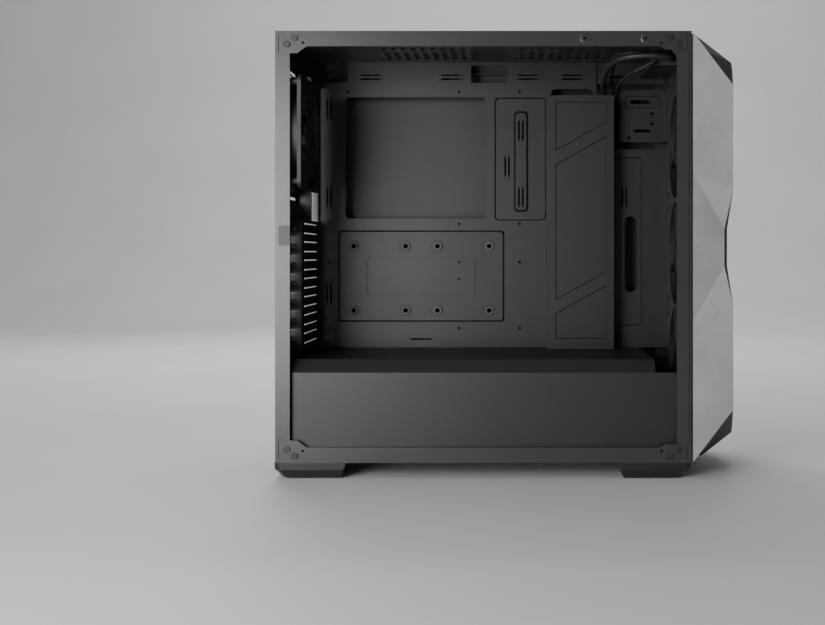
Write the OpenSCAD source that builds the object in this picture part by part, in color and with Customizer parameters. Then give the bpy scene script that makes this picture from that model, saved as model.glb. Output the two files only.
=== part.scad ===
// Mid-tower desktop computer case with its left side panel taken off.
// +Z is up, the front faces -Y, and the open side faces -X.
// The origin is on the ground, under the middle of the case.

/* [Case] */
// Overall width, over both side faces of the fascia
case_width = 217; // [213:1:221]
// Depth from the nose of the fascia to the rear panel
case_depth = 496; // [492:1:500]
// Height from the ground to the top rails
case_height = 468; // [466:1:474]
// Height of the feet
foot_height = 17; // [15:1:19]
// Width of the side rails and posts
rail_width = 16; // [14:0.5:16]
// Sheet steel thickness
steel = 1; // [0.8:0.1:1]

/* [Motherboard tray] */
// Depth from the open side to the tray
tray_depth = 180; // [176:1:182]
// Pitch of the expansion slots
slot_pitch = 20.32; // [20:0.01:20.4]
// Number of expansion slots
slot_count = 7; // [7:1:7]

/* [Fans] */
// Side of the square fans
fan_size = 120; // [120:1:120]
// Distance between a fan's screw holes
fan_holes = 105; // [105:1:105]
// Depth of the fans
fan_depth = 25; // [23:1:25]
// Number of blades on each rotor
blade_count = 7; // [5:1:9]

/* [Power supply] */
// Width of the power supply
psu_width = 150; // [150:1:150]
// Height of the power supply
psu_height = 86; // [84:1:86]
// Length of the power supply
psu_length = 140; // [130:1:160]

/* [Hidden] */
half_width = case_width / 2;
side_inset = 4.5;                          // the side skins stand this far proud of the frame
frame_x = half_width - side_inset;
post_x = frame_x - steel;                  // inner face of the side flanges
front_y = -case_depth / 2;
rear_y = case_depth / 2;
chassis_depth = 435;
chassis_y = rear_y - chassis_depth;        // front edge of the steel chassis
wall_y = chassis_y + 3;                    // outer face of the front wall
slot_y = rear_y - 16;                      // inner face of the recessed slot wall
floor_z = foot_height;
roof_z = case_height - 4;                  // underside of the roof sheet
rail_z = case_height - rail_width;
tray_x = -frame_x + tray_depth;

// Motherboard screw pattern: columns run forward from the rear, rows run down from the top.
column_y = [slot_y - 12.27, slot_y - 167.21, slot_y - 239.6];
second_hole_y = column_y[0] - 22.86;
row_z = [case_height - 39.3, case_height - 196.78, case_height - 242.5, case_height - 321.24];
board_screw_r = 1.6;

slot_top_z = row_z[1] - 7.7;               // centre of the highest slot cover
shelf_x = tray_x - 118;                    // slot covers are screwed to this shelf
io_x = [tray_x - 50, tray_x - 5.6];
io_z = [row_z[1] + 2.1, row_z[0] + 3.35];
recess_low_z = slot_top_z - slot_pitch * 6 - 12;
recess_high_z = io_z[1] + 5;
recess_step_z = io_z[0] - 1.5;
recess_step_x = io_x[0] - 3.5;

fan_bore_r = 57.5;
rotor_r = 55.5;
hub_r = 20;
filter_x = 62;
filter_y = [116, rear_y - 6];

rear_fan_x = -39;
rear_fan_z = 364.5;
front_fan_z = [356, 236, 116];
fan_screw_r = 2.15;

shroud_z = 123.5;
shroud_bevel = 13;
shroud_front_y = -150;
shroud_side = -post_x + 6;                 // outer face of the shroud, set back behind the rails
psu_z = floor_z + 10;
psu_y = rear_y - steel - psu_length;

cpu_y = [33, 200.3];
cpu_z = [277.5, 422.2];
pass_y = [7.4, 50.4];
pass_z = [439.4, 460];
recess_y = [-39, 22.4];
recess_z = [275, 422];
cover_x = tray_x - 30;
cover_y = [-117.5, -38.9];
cover_top_z = 420.5;
cover_hole_y = [-95, -45];
ssd_y = [9.8, 209.2];
ssd_z = [153.4, 264.2];
ssd_hole_y = [190, 128.28, 90.4, 28.68];
ssd_hole_z = [167.9, 244.5];
pocket = 3;
pan_rise = 1.4;                            // the drive pan stands this far out of the tray
field_y = [44.5, 174.6];
field_z = [185.4, 231.4];
bracket_y = [-182, -126.2];
bracket_z = [368.5, 431];
bay_edge_y = -99;
bay_step_z = 360;
bay_recess_y = [-153.6, -100];
bay_recess_z = [150, 350.5];

cage_y = [-140, -30];
cage_x = [-84, 70];
cage_z = floor_z + rail_width + 1;         // the trays pass over the floor's side lip
bay_height = 30;
tray_gap = 0.6;

panel_clear = 1.2;
// Thumbscrew axes on the rear edge of the right panel, in a strip set back from the rear panel
thumb_x = 97;
strip_x = 87;
strip_y = rear_y - 5;
thumb_z = [60, 430];

io_panel_y = [chassis_y + 4, chassis_y + 36];
io_panel_x = [-30, 75];
button_travel = 1.5;

// Side flange of the floor or roof, with a lug at each end that laps over the posts.
// The drawing has the flange's outer edge at 0 and its inner edge at rail_width.
lug_height = 23.4;
lug_rear_y = [rear_y - 33.2, rear_y - 23];
lug_front_y = [chassis_y + 23, chassis_y + 33];
rivet_points = [[rear_y - 12.8, 14], [rear_y - 21, 7], [chassis_y + 13.6, 13.6], [chassis_y + 22.4, 6.8]];
// Cable tie points: [y, z, true where upright]
tie_points = [[170.2, 446, false], [74.3, 446, false], [-17, 446, false],
              [219.6, 408.4, true], [219.6, 303.2, true], [219.6, 188, true],
              [-70, 446, false], [-132.3, 303.8, true]];
recess_ties = [[-9, 382.5], [-9, 303], [7.5, 340]];
// Fields pressed into the cable cover, divided by slanted bands: their low edges' heights at the front
// and rear, then their high edges'
cover_field_y = [cover_y[0] + 8.5, cover_y[1] - 10.5];
cover_fields = [[388.7, 355.7, 413, 413], [214, 181, 373, 340], [136, 136, 199, 166]];
rear_fan_y = rear_y - steel - fan_depth;
front_fan_y = wall_y - fan_depth;
psu_x = psu_width / 2;
inlet_x = 47;
inlet_z = psu_z + 22;
switch_x = 17;
psu_plate = 1.5;
tab_y = strip_y + steel + 0.2;
waist_z = (case_height + floor_z) / 2 - 0.5;
// Outer corners of a cheek's facets above the waist: [x inward of the side face, y, height above the waist]
cheek_half = [[0, chassis_y - 0.8, 223.3], [0, front_y + 18.3, 168.4], [0, front_y + 18.8, 59.8],
              [10.5, front_y + 26, 20], [0, chassis_y - 0.8, 76.8]];
cheek_points = concat([for (p = cheek_half) [p[0], p[1], waist_z + p[2]]],
                      [for (p = cheek_half) [p[0], p[1], waist_z - p[2]]]);
cheek_facets = [[0, 1, 2, 4], [4, 2, 3], [4, 3, 8, 9], [9, 8, 7], [9, 7, 6, 5]];
cheek_rim = [0, 4, 9, 5, 6, 7, 8, 3, 2, 1];
// Half profiles of the fascia in (Y, height above the waist), from its rear edge over the top to the waist
fascia_x = half_width - 3.2;
profile_edge = [[chassis_y - 0.8, 76.8], [chassis_y - 0.8, 223], [front_y + 47, 205.4], [front_y + 19, 168],
                [front_y + 19, 160], [front_y + 19, 60], [front_y + 26, 20]];
profile_mid = [[chassis_y - 0.8, 76.8], [chassis_y - 0.8, 224.8], [front_y + 44, 224.4], [front_y + 12, 199.4],
               [front_y + 9.6, 183], [front_y + 9.6, 60], [front_y + 16, 20]];
profile_ridge = [[chassis_y - 0.8, 76.8], [chassis_y - 0.8, 224.8], [front_y + 45, 224.8], [front_y + 2.4, 208],
                 [front_y, 190], [front_y, 60], [front_y + 7, 20]];
// Triangles that close the ends of the loft, folded in at the waist
fascia_cap = concat([for (i = [1:6]) [0, i, i + 1]], [[0, 7, 13]], [for (i = [7:11]) [13, i, i + 1]]);
power_pos = [-58, (io_panel_y[0] + io_panel_y[1]) / 2];
reset_pos = [-40, power_pos[1]];
usb_x = [-10, 18];
jack_x = [44, 58];
foot_length = 76;
foot_width = 36;
foot_band = 7.5;
foot_corner = 6;
pad_z = 0.8;
// Points of each lead's route, from the port panel over the top to the back of the tray
usb_route = [[-30.6, -174.5, 450], [-37, -174.5, 450], [-46, -168, 450.5], [-49, -150, 451.5],
             [-44, -128, 451], [-30, -113, 448.5], [2, -106, 444], [50, -106, 437], [80, -108, 429],
             [88, -108, 408], [88, -108, 350], [88, -108, 300]];
audio_route = [[-30.6, -165.5, 452], [-35, -165.5, 452], [-40, -160, 453], [-41, -146, 455],
               [-36, -126, 456], [-20, -113, 455], [10, -115, 450], [50, -115, 442.5], [78, -116.5, 432],
               [87, -117, 408], [87, -117, 350], [87, -117, 308]];
switch_route = [[-30.6, -158, 447], [-34, -158, 447], [-38, -154, 445], [-37, -144, 441],
                [-26, -133, 437], [-6, -126, 434.5], [30, -122.5, 432.5], [64, -122.5, 429],
                [82, -122.5, 418], [86, -123, 400], [86, -123, 350], [86, -123, 318]];

// ---------- drawing helpers ----------

// A box between two corners given as ranges
module slab(x, y, z) {
    translate([x[0], y[0], z[0]]) cube([x[1] - x[0], y[1] - y[0], z[1] - z[0]]);
}

// Flat drawings: rect and round_rect span two ranges
module rect(a, b) {
    translate([a[0], b[0]]) square([a[1] - a[0], b[1] - b[0]]);
}

module round_rect(a, b, r) {
    rect([a[0] + r, a[1] - r], b);
    rect(a, [b[0] + r, b[1] - r]);
    for (p = [a[0] + r, a[1] - r], q = [b[0] + r, b[1] - r]) translate([p, q]) circle(r = r, $fn = 32);
}

// A slot with round ends, centred, along the first axis
module slot(length, width) {
    square([length - width, width], center = true);
    for (s = [-1, 1]) translate([s * (length - width) / 2, 0]) circle(d = width, $fn = 24);
}

// Plates: the drawing's axes are (Y, Z), (X, Z) and (X, Y)
module x_plate(x, t = steel) {
    translate([x, 0, 0]) rotate([90, 0, 90]) linear_extrude(t) children();
}

module y_plate(y, t = steel) {
    translate([0, y + t, 0]) rotate([90, 0, 0]) linear_extrude(t) children();
}

module z_plate(z, t = steel) {
    translate([0, 0, z]) linear_extrude(t) children();
}

// A pressed form: a rounded rectangle that shrinks by slope over its height
module pressed(a, b, r, height, slope) {
    w = a[1] - a[0];
    d = b[1] - b[0];
    translate([(a[0] + a[1]) / 2, (b[0] + b[1]) / 2])
        linear_extrude(height, scale = [1 - 2 * slope / w, 1 - 2 * slope / d])
            round_rect([-w / 2, w / 2], [-d / 2, d / 2], r);
}

// The same in the (Y, Z) plane, shrinking away from the open side or towards it
module pressed_in(x, a, b, r, height, slope) {
    translate([x, 0, 0]) rotate([90, 0, 90]) pressed(a, b, r, height, slope);
}

module pressed_out(x, a, b, r, height, slope) {
    translate([x, 0, 0]) mirror([1, 0, 0]) rotate([90, 0, 90]) pressed(a, b, r, height, slope);
}

module both_sides() {
    children();
    mirror([1, 0, 0]) children();
}

// Hexagonal holes in rows, kept inside a circle of radius r
module honeycomb(r, hole, pitch) {
    rows = floor(r / (pitch * 0.866));
    for (j = [-rows:rows], i = [-ceil(r / pitch):ceil(r / pitch)]) {
        p = [(i + (j % 2 == 0 ? 0 : 0.5)) * pitch, j * pitch * 0.866];
        if (norm(p) < r - hole / 2) translate(p) rotate(30) circle(d = hole, $fn = 6);
    }
}

module fan_corners(spacing = fan_holes) {
    for (a = [-1, 1], b = [-1, 1]) translate([a * spacing / 2, b * spacing / 2]) children();
}

// ---------- steel chassis ----------

module flange_outline() {
    difference() {
        union() {
            rect([chassis_y, rear_y], [0, rail_width]);
            polygon([[lug_rear_y[0], rail_width - 0.5], [rear_y - 4.6, rail_width - 0.5],
                     [rear_y - 4.6, lug_height], [lug_rear_y[1], lug_height], [lug_rear_y[0], rail_width]]);
            polygon([[chassis_y + 5, rail_width - 0.5], [lug_front_y[1], rail_width - 0.5],
                     [lug_front_y[1], rail_width], [lug_front_y[0] + 5, lug_height - 4],
                     [chassis_y + 5, lug_height - 4]]);
        }
        rect([rear_y - 4.6, rear_y + 1], [3.6, lug_height + 1]);
        rect([chassis_y - 1, chassis_y + 5], [3.6, lug_height + 1]);
        for (y = [rear_y - 29, chassis_y + 31.5]) translate([y, 12.5]) circle(r = 1.3, $fn = 24);
    }
}

// The flange as sheet, standing up from z = 0 on the left side, with a groove coined round each rivet
module side_flange() {
    difference() {
        x_plate(-frame_x) flange_outline();
        for (p = rivet_points) translate([-frame_x - 0.5, p[0], p[1]]) rotate([0, 90, 0]) difference() {
            cylinder(r = 4.6, h = 1.2, $fn = 36);
            translate([0, 0, -1]) cylinder(r = 3.3, h = 3, $fn = 36);
        }
    }
}

module floor_pan() {
    color([0.09, 0.09, 0.095]) {
        difference() {
            slab([-frame_x, frame_x], [chassis_y, rear_y], [floor_z, floor_z + steel]);
            z_plate(floor_z - 1, 3) {
                for (x = [-31, 31], y = [0:9]) translate([x, 130 + 10 * y]) slot(52, 4);
            }
        }
        both_sides() translate([0, 0, floor_z]) side_flange();
        both_sides() slab([-post_x, -post_x + 9], [chassis_y + 21.5, rear_y - 20.5],
                          [floor_z + rail_width - steel, floor_z + rail_width]);
        // rails that carry the power supply's dust filter
        both_sides() slab([-filter_x - 1.5, -filter_x - 0.5], filter_y, [floor_z - 4, floor_z]);
        both_sides() slab([-filter_x - 1.5, -filter_x + 2], filter_y, [floor_z - 4, floor_z - 3.4]);
    }
}

module roof_panel() {
    vent_y = [-55, 100];
    color([0.09, 0.09, 0.095]) {
        difference() {
            slab([-frame_x, frame_x], [chassis_y, rear_y], [roof_z, case_height]);
            // the filter lies in this pocket
            slab([-92, 92], [chassis_y + 40, rear_y - 10], [roof_z + steel, case_height + 1]);
            // the port panel drops through this opening
            slab([io_panel_x[0] - 46, io_panel_x[1] + 1], io_panel_y, [roof_z - 1, case_height + 1]);
            z_plate(roof_z - 1, 3) for (c = vent_y) translate([0, c]) {
                for (x = [-33, 33], i = [-4:4]) translate([x, i * 11]) slot(56, 6);
                fan_corners() slot(14, 2 * fan_screw_r);
            }
        }
        difference() {
            both_sides() translate([0, 0, case_height]) mirror([0, 0, 1]) side_flange();
            for (y = [-75.7, -139.1]) translate([-frame_x - 1, y, case_height - 7.7])
                rotate([0, 90, 0]) cylinder(r = 1.6, h = 3, $fn = 24);
        }
        for (y = [-75.7, -139.1]) translate([-frame_x - 0.6, y, case_height - 7.7]) rotate([0, 90, 0])
            rotate_extrude($fn = 48) polygon([[3.2, 0], [4.2, 0], [5.4, 0.6], [2.6, 0.6]]);
        both_sides() slab([-post_x, -post_x + 9], [chassis_y + 21.5, rear_y - 20.5], [rail_z, rail_z + steel]);
    }
}

// Outline of the recess that holds the board's connectors and the slot covers, grown by g
module recess_outline(g = 0) {
    polygon([[shelf_x - g, recess_low_z - g], [tray_x + g, recess_low_z - g], [tray_x + g, recess_high_z + g],
             [recess_step_x - g, recess_high_z + g], [recess_step_x - g, recess_step_z + g],
             [shelf_x - g, recess_step_z + g]]);
}

module rear_panel() {
    color([0.09, 0.09, 0.095]) {
        y_plate(rear_y - steel) difference() {
            rect([-post_x, strip_x + steel], [floor_z + steel, roof_z]);
            recess_outline();
            translate([rear_fan_x, rear_fan_z]) {
                honeycomb(fan_bore_r - 1, 8, 9.4);
                fan_corners() circle(r = 2.4, $fn = 24);
                // vents above and below the fan
                for (z = [-67.5, 62.2, 67.2, 72.2]) translate([3, z]) slot(88, 3);
            }
            translate([0, psu_z + psu_height / 2]) {
                square([psu_width - 14, psu_height - 6], center = true);
                for (p = [[-69, -27], [69, -37], [-69, 37], [69, 37]]) translate(p) circle(r = 2, $fn = 24);
            }
            for (z = [150:20:250]) translate([-72, z]) slot(34, 6);
        }
        // strip set back for the right panel's screws
        y_plate(strip_y) difference() {
            rect([strip_x, post_x], [floor_z + steel, roof_z]);
            for (z = thumb_z) translate([thumb_x, z]) circle(r = 2.4, $fn = 32);
        }
        slab([strip_x, strip_x + steel], [strip_y, rear_y], [floor_z + steel, roof_z]);
        // the recess wall and its back, which holds the slots
        y_plate(slot_y, rear_y - slot_y) difference() {
            recess_outline(steel);
            recess_outline();
        }
        y_plate(slot_y) difference() {
            recess_outline(steel / 2);
            rect(io_x, io_z);
            for (i = [0:slot_count - 1]) translate([(shelf_x + tray_x) / 2, slot_top_z - i * slot_pitch])
                square([96, 13.4], center = true);
        }
        // the post, folded double where it is flush with the rails' lugs
        difference() {
            union() {
                x_plate(-post_x) rect([slot_y + 0.6, rear_y], [floor_z + steel, roof_z]);
                x_plate(-frame_x)
                    rect([slot_y + 0.6, rear_y], [floor_z + lug_height + 1.2, roof_z + 2.8 - lug_height]);
                x_plate(-frame_x) rect([rear_y - 3.4, rear_y], [floor_z + 4.4, case_height - 4.4]);
            }
            x_plate(-frame_x - 1, 4) rect([slot_y, rear_y - 3.8], [244, 264.5]);
        }
        x_plate(post_x - steel) rect([slot_y - 4, strip_y + steel], [floor_z + steel, roof_z]);
    }
}

module post_insert() {
    color([0.05, 0.05, 0.05]) slab([-frame_x + 0.2, -post_x + 3], [slot_y + 0.6, rear_y - 4], [244.2, 264.3]);
}

module front_wall() {
    color([0.09, 0.09, 0.095]) {
        y_plate(wall_y) difference() {
            rect([-post_x, post_x], [floor_z + steel, roof_z]);
            for (z = front_fan_z) translate([0, z]) {
                circle(r = fan_bore_r, $fn = 72);
                fan_corners() circle(r = 2.4, $fn = 24);
            }
            for (x = [-93, 93], z = [80:60:400]) translate([x, z]) rotate(90) slot(36, 6);
        }
        both_sides() x_plate(-frame_x) {
            rect([chassis_y + 2.6, chassis_y + 15.6], [floor_z + 20.6, case_height - 20.6]);
            rect([chassis_y, chassis_y + 1.6], [floor_z + 4.4, case_height - 4.4]);
            for (z = [floor_z + 4.4, case_height - 20.6]) rect([chassis_y, chassis_y + 3.8], [z, z + 16.2]);
        }
        both_sides() x_plate(-post_x) {
            rect([chassis_y, chassis_y + 15.6], [floor_z + steel, roof_z]);
            polygon([[chassis_y + 15, 441.8], [chassis_y + 15.6, 441.8],
                     [chassis_y + 21, 448], [chassis_y + 21, roof_z], [chassis_y + 15, roof_z]]);
        }
    }
}

// ---------- motherboard tray and what is fixed to it ----------

module at_tie(p) {
    translate([p[0], p[1]]) rotate(p[2] ? 90 : 0) children();
}

module tie_window() {
    square([25, 6.6], center = true);
}

module tie_bridge() {
    for (s = [-1, 1]) translate([s * 12.6, 0]) square([3, 5], center = true);
    square([25, 2.4], center = true);
}

module motherboard_tray() {
    color([0.11, 0.11, 0.115]) {
        difference() {
            x_plate(tray_x) polygon([[slot_y - 0.2, shroud_z + 0.3], [slot_y - 0.2, roof_z - 0.2],
                                     [bay_edge_y, roof_z - 0.2], [bay_edge_y, bay_step_z],
                                     [wall_y + 1.2, bay_step_z], [wall_y + 1.2, shroud_z + 0.3]]);
            x_plate(tray_x - 1, 3) {
                round_rect(cpu_y, cpu_z, 5);
                round_rect(pass_y, pass_z, 2);
                round_rect([197.3, slot_y + 5], [439.4, roof_z + 5], 5);
                round_rect(cover_hole_y, [135, 432], 6);
                round_rect(recess_y, recess_z, 5);
                round_rect(ssd_y, ssd_z, 4);
                for (p = tie_points) at_tie(p) tie_window();
                for (y = [column_y[0], column_y[1], column_y[2]], z = [row_z[1], row_z[3]])
                    translate([y, z]) circle(r = board_screw_r, $fn = 24);
                for (y = [second_hole_y, column_y[1], column_y[2]])
                    translate([y, row_z[0]]) circle(r = board_screw_r, $fn = 24);
                for (y = [column_y[0], column_y[2]])
                    translate([y, row_z[2]]) circle(r = board_screw_r, $fn = 24);
                translate([110, 133.7]) slot(26, 2);
                translate([-140, 235]) rotate(90) slot(90, 14);
            }
        }
        // pressed ring around the processor opening
        x_plate(tray_x + steel, 2) difference() {
            round_rect([cpu_y[0] - 1.2, cpu_y[1] + 1.2], [cpu_z[0] - 1.2, cpu_z[1] + 1.2], 6);
            round_rect(cpu_y, cpu_z, 5);
        }
        // pressed pocket ahead of the processor opening, with its raised channel
        difference() {
            union() {
                difference() {
                    pressed_in(tray_x + 0.2, [recess_y[0] - 0.9, recess_y[1] + 0.9],
                               [recess_z[0] - 0.9, recess_z[1] + 0.9], 6, pocket + 0.8, 1.4);
                    pressed_in(tray_x - 0.1, recess_y, recess_z, 5, pocket + 0.1, 1.4);
                }
                pressed_out(tray_x + pocket + 0.5, [-18.4, 0], [recess_z[0] + 10, 406.4], 5, pocket - 0.1, 2.9);
            }
            for (p = recess_ties) x_plate(tray_x - 1, 8) at_tie([p[0], p[1], true]) tie_window();
        }
        // bridges of the tie points
        x_plate(tray_x - 1.6, 1.6) for (p = tie_points) at_tie(p) tie_bridge();
        x_plate(tray_x + 0.2, 1.4) for (p = [recess_ties[0], recess_ties[1]])
            at_tie([p[0], p[1], true]) tie_bridge();
        x_plate(tray_x + pocket - 1.6, 1.6) at_tie([recess_ties[2][0], recess_ties[2][1], true]) tie_bridge();
        // raised sheet at the front end, round a shallow recess
        difference() {
            x_plate(tray_x - 1.4, 1.4) rect([wall_y + 1.2, cover_y[0] - 1], [shroud_z + 0.3, bay_step_z]);
            pressed_in(tray_x - 1.5, bay_recess_y, bay_recess_z, 6, 1.6, 1.3);
        }
        // set-back plate over the bracket, with its cable slot
        slab([tray_x, tray_x + 4], [bay_edge_y, bay_edge_y + steel], [438, roof_z - 0.2]);
        x_plate(tray_x + 3) difference() {
            rect([wall_y + 2, bay_edge_y + steel], [438, roof_z - 0.2]);
            translate([-123.4, 447]) slot(20, 3);
            for (p = [[-117.2, 455.6], [-160.6, 458.3], [-160.6, 452]]) translate(p) circle(r = 1.6, $fn = 24);
        }
        // flange that closes the tray against the front wall
        slab([tray_x, tray_x + 12], [wall_y + steel, wall_y + 2 * steel], [shroud_z + 0.3, bay_step_z]);
    }
}

// Pan for the small drives, pressed out through the tray's opening from behind
module ssd_bracket() {
    color([0.12, 0.12, 0.125]) difference() {
        union() {
            difference() {
                union() {
                    x_plate(tray_x + steel, 1.2)
                        round_rect([ssd_y[0] - 5, ssd_y[1] + 5], [ssd_z[0] - 4, ssd_z[1] + 4], 5);
                    pressed_out(tray_x + 1.6, [ssd_y[0] + 0.5, ssd_y[1] - 0.5],
                                [ssd_z[0] + 0.5, ssd_z[1] - 0.5], 4, 1.6 + pan_rise, 2.2);
                }
                pressed_out(tray_x + 2.4, [ssd_y[0] + 1.6, ssd_y[1] - 1.6], [ssd_z[0] + 1.6, ssd_z[1] - 1.6], 3,
                            1.4 + pan_rise, 2);
            }
            x_plate(tray_x - pan_rise + 0.9) round_rect([field_y[0] - 1, field_y[1] + 1],
                                                        [field_z[0] - 1, field_z[1] + 1], 5);
        }
        // groove pressed round the pan's middle field
        x_plate(tray_x - pan_rise - 0.2, 1.3) difference() {
            round_rect(field_y, field_z, 5);
            round_rect([field_y[0] + 1.5, field_y[1] - 1.5], [field_z[0] + 1.5, field_z[1] - 1.5], 3.8);
        }
        x_plate(tray_x - 3, 8) for (y = ssd_hole_y, z = ssd_hole_z) translate([y, z]) circle(r = 5, $fn = 36);
        x_plate(tray_x - 3, 8) for (z = [205.3, 225.6]) translate([65, z]) circle(r = 1.3, $fn = 24);
        // seats sunk round the grommets
        for (y = ssd_hole_y, z = ssd_hole_z)
            translate([tray_x - pan_rise - 0.1, y, z]) rotate([0, 90, 0]) difference() {
                cylinder(r = 7.9, h = 0.8, $fn = 48);
                translate([0, 0, -1]) cylinder(r = 5.9, h = 3, $fn = 48);
            }
    }
}

// Rubber grommets, gripping the pan in their grooves
module ssd_grommets() {
    color([0.04, 0.04, 0.04]) for (y = ssd_hole_y, z = ssd_hole_z)
        translate([tray_x - pan_rise - 2, y, z]) rotate([0, 90, 0]) rotate_extrude($fn = 48)
            polygon([[2.6, 1], [2.9, 0.7], [5.2, 0.7], [5.7, 1.1], [5.7, 1.9], [4.7, 1.9], [4.7, 3.1], [6.4, 3.1],
                     [6.4, 4.1], [2.6, 4.1]]);
}

// Corners of a field, shrunk by g
function field_corners(f, g) = let (
    width = cover_field_y[1] - cover_field_y[0],
    low = (f[1] - f[0]) / width, high = (f[3] - f[2]) / width,
    up = g * sqrt(1 + low * low), down = g * sqrt(1 + high * high),
    y0 = cover_field_y[0] + g, y1 = cover_field_y[1] - g)
    [[y0, f[0] + low * g + up], [y1, f[1] - low * g + up], [y1, f[3] - high * g - down],
     [y0, f[2] + high * g - down]];

module cable_cover() {
    color([0.12, 0.12, 0.125]) {
        difference() {
            x_plate(cover_x - 0.9, 1.9) rect(cover_y, [shroud_z + 0.5, cover_top_z]);
            for (f = cover_fields) hull() {
                x_plate(cover_x - 1, 0.1) polygon(field_corners(f, 0));
                x_plate(cover_x - 0.1, 0.1) polygon(field_corners(f, 1));
            }
        }
        for (y = [cover_y[0], cover_y[1] - steel])
            slab([cover_x + steel, tray_x], [y, y + steel], [shroud_z + 0.5, cover_top_z]);
        difference() {
            slab([tray_x - steel, tray_x], [cover_y[1], cover_y[1] + 6], [shroud_z + 0.5, 270]);
            x_plate(tray_x - 2, 3) for (z = [150, 250])
                translate([cover_y[1] + 3, z]) circle(r = 1.6, $fn = 24);
        }
    }
}

module front_bracket() {
    color([0.1, 0.1, 0.105]) {
        difference() {
            union() {
                x_plate(tray_x) round_rect(bracket_y, bracket_z, 2);
                x_plate(tray_x - 1.2, 1.2) round_rect([bracket_y[0], bracket_y[1] - 1], bracket_z, 2);
            }
            pressed_in(tray_x - 1.3, [-174.9, -133.3], [408.7, 423.9], 2.4, 1.3, 1);
            x_plate(tray_x - 2, 5) {
                translate([-151, 416.5]) slot(24, 5);
                translate([-153.5, 382]) slot(20, 3.6);
                for (p = [[-165.6, 402.5], [-165.6, 390.6], [-137.9, 373.7]])
                    translate(p) circle(r = 1.9, $fn = 24);
            }
        }
        slab([tray_x - 17, tray_x + steel], [wall_y + steel, wall_y + 2 * steel], bracket_z);
        slab([tray_x + steel, frame_x - 2], [wall_y + steel, wall_y + 2 * steel],
             [bracket_z[0], bracket_z[0] + 20]);
    }
}

module psu_shroud() {
    face_z = floor_z + rail_width;
    side = shroud_side;
    edge_z = shroud_z - shroud_bevel;
    outer = [[side, face_z], [side, edge_z], [side + shroud_bevel, shroud_z], [tray_x + steel, shroud_z]];
    inner = [[tray_x + steel, shroud_z - steel], [side + 0.6 + shroud_bevel, shroud_z - steel],
             [side + steel, edge_z - 0.6], [side + steel, face_z]];
    color([0.12, 0.12, 0.125]) {
        difference() {
            y_plate(shroud_front_y, slot_y - 0.5 - shroud_front_y) polygon(concat(outer, inner));
            z_plate(shroud_z - 3, 5) {
                rect([tray_x - 11, tray_x - 1.5], [140.8, 191.6]);
                rect([tray_x - 11, tray_x - 1.5], [61.2, 94.6]);
            }
        }
        // the side face runs on to the front wall
        slab([side, side + steel], [wall_y + 1.2, shroud_front_y + 1], [face_z, edge_z]);
        // legs under the tray side
        for (y = [[shroud_front_y, -143], [20, 60]])
            slab([tray_x, tray_x + steel], y, [floor_z + steel, shroud_z - steel / 2]);
    }
}

// ---------- expansion slot covers ----------

module slot_cover(i) {
    z = slot_top_z - (i - 1) * slot_pitch;
    color([0.14, 0.14, 0.145]) {
        y_plate(slot_y - steel) translate([0, z]) difference() {
            rect([shelf_x - 2, tray_x - 8], [-9.2, 9.2]);
            for (s = [-1, 1]) translate([(shelf_x + tray_x) / 2 - 2, s * 5.3]) slot(84, 1.4);
        }
        // stiffening lip along the lower edge
        slab([shelf_x + 2, tray_x - 8.5], [slot_y - 3, slot_y - steel], [z - 9.2, z - 8.2]);
        difference() {
            slab([shelf_x - 2, shelf_x - 1], [slot_y, rear_y - 4.4], [z - 9.2, z + 9.2]);
            translate([shelf_x - 3, slot_y + 7.5, z]) rotate([0, 90, 0]) cylinder(r = 1.9, h = 4, $fn = 24);
        }
    }
}

module slot_screws() {
    color([0.12, 0.12, 0.125]) for (i = [0:slot_count - 1])
        translate([shelf_x - 2, slot_y + 7.5, slot_top_z - i * slot_pitch]) rotate([0, -90, 0]) difference() {
            union() {
                rotate_extrude($fn = 48)
                    polygon([[0.001, 0], [3.4, 0], [3.4, 0.5], [2.9, 1.3], [2, 1.9], [1, 2.2], [0.001, 2.2]]);
                translate([0, 0, -0.9]) cylinder(r = 1.8, h = 1.4, $fn = 24);
            }
            for (a = [0, 90]) rotate(a) translate([-1.8, -0.35, 1.2]) cube([3.6, 0.7, 2]);
        }
}

module corner_rivets() {
    color([0.16, 0.16, 0.17]) both_sides() for (p = rivet_points, top = [0, 1])
        translate([-frame_x, p[0], top == 1 ? case_height - p[1] : floor_z + p[1]]) rotate([0, -90, 0])
            rotate_extrude($fn = 48)
                polygon([[0.001, 0], [3.2, 0], [3.2, 0.3], [2.6, 0.9], [1.8, 0.9], [1.3, 0.3], [0.001, 0.3]]);
}

// ---------- fans ----------

// Fan frame, centred on the origin of its front face, blowing along +Z, with its motor struts at the top
module fan_frame() {
    outline = fan_size / 2;
    for (z = [0, fan_depth - 4]) translate([0, 0, z]) linear_extrude(4) difference() {
        round_rect([-outline, outline], [-outline, outline], 8);
        circle(r = fan_bore_r, $fn = 72);
        fan_corners() circle(r = fan_screw_r, $fn = 24);
    }
    translate([0, 0, 3]) linear_extrude(fan_depth - 6) difference() {
        circle(r = fan_bore_r + 2, $fn = 72);
        circle(r = fan_bore_r, $fn = 72);
    }
    translate([0, 0, 3]) linear_extrude(fan_depth - 6) difference() {
        fan_corners() circle(r = 4.4, $fn = 24);
        fan_corners() circle(r = fan_screw_r, $fn = 24);
    }
    translate([0, 0, fan_depth - 3]) {
        cylinder(r = hub_r + 1, h = 3, $fn = 48);
        for (a = [20:90:290]) rotate(a) translate([hub_r, -2, 0]) cube([fan_bore_r - hub_r + 0.5, 4, 3]);
    }
}

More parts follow.
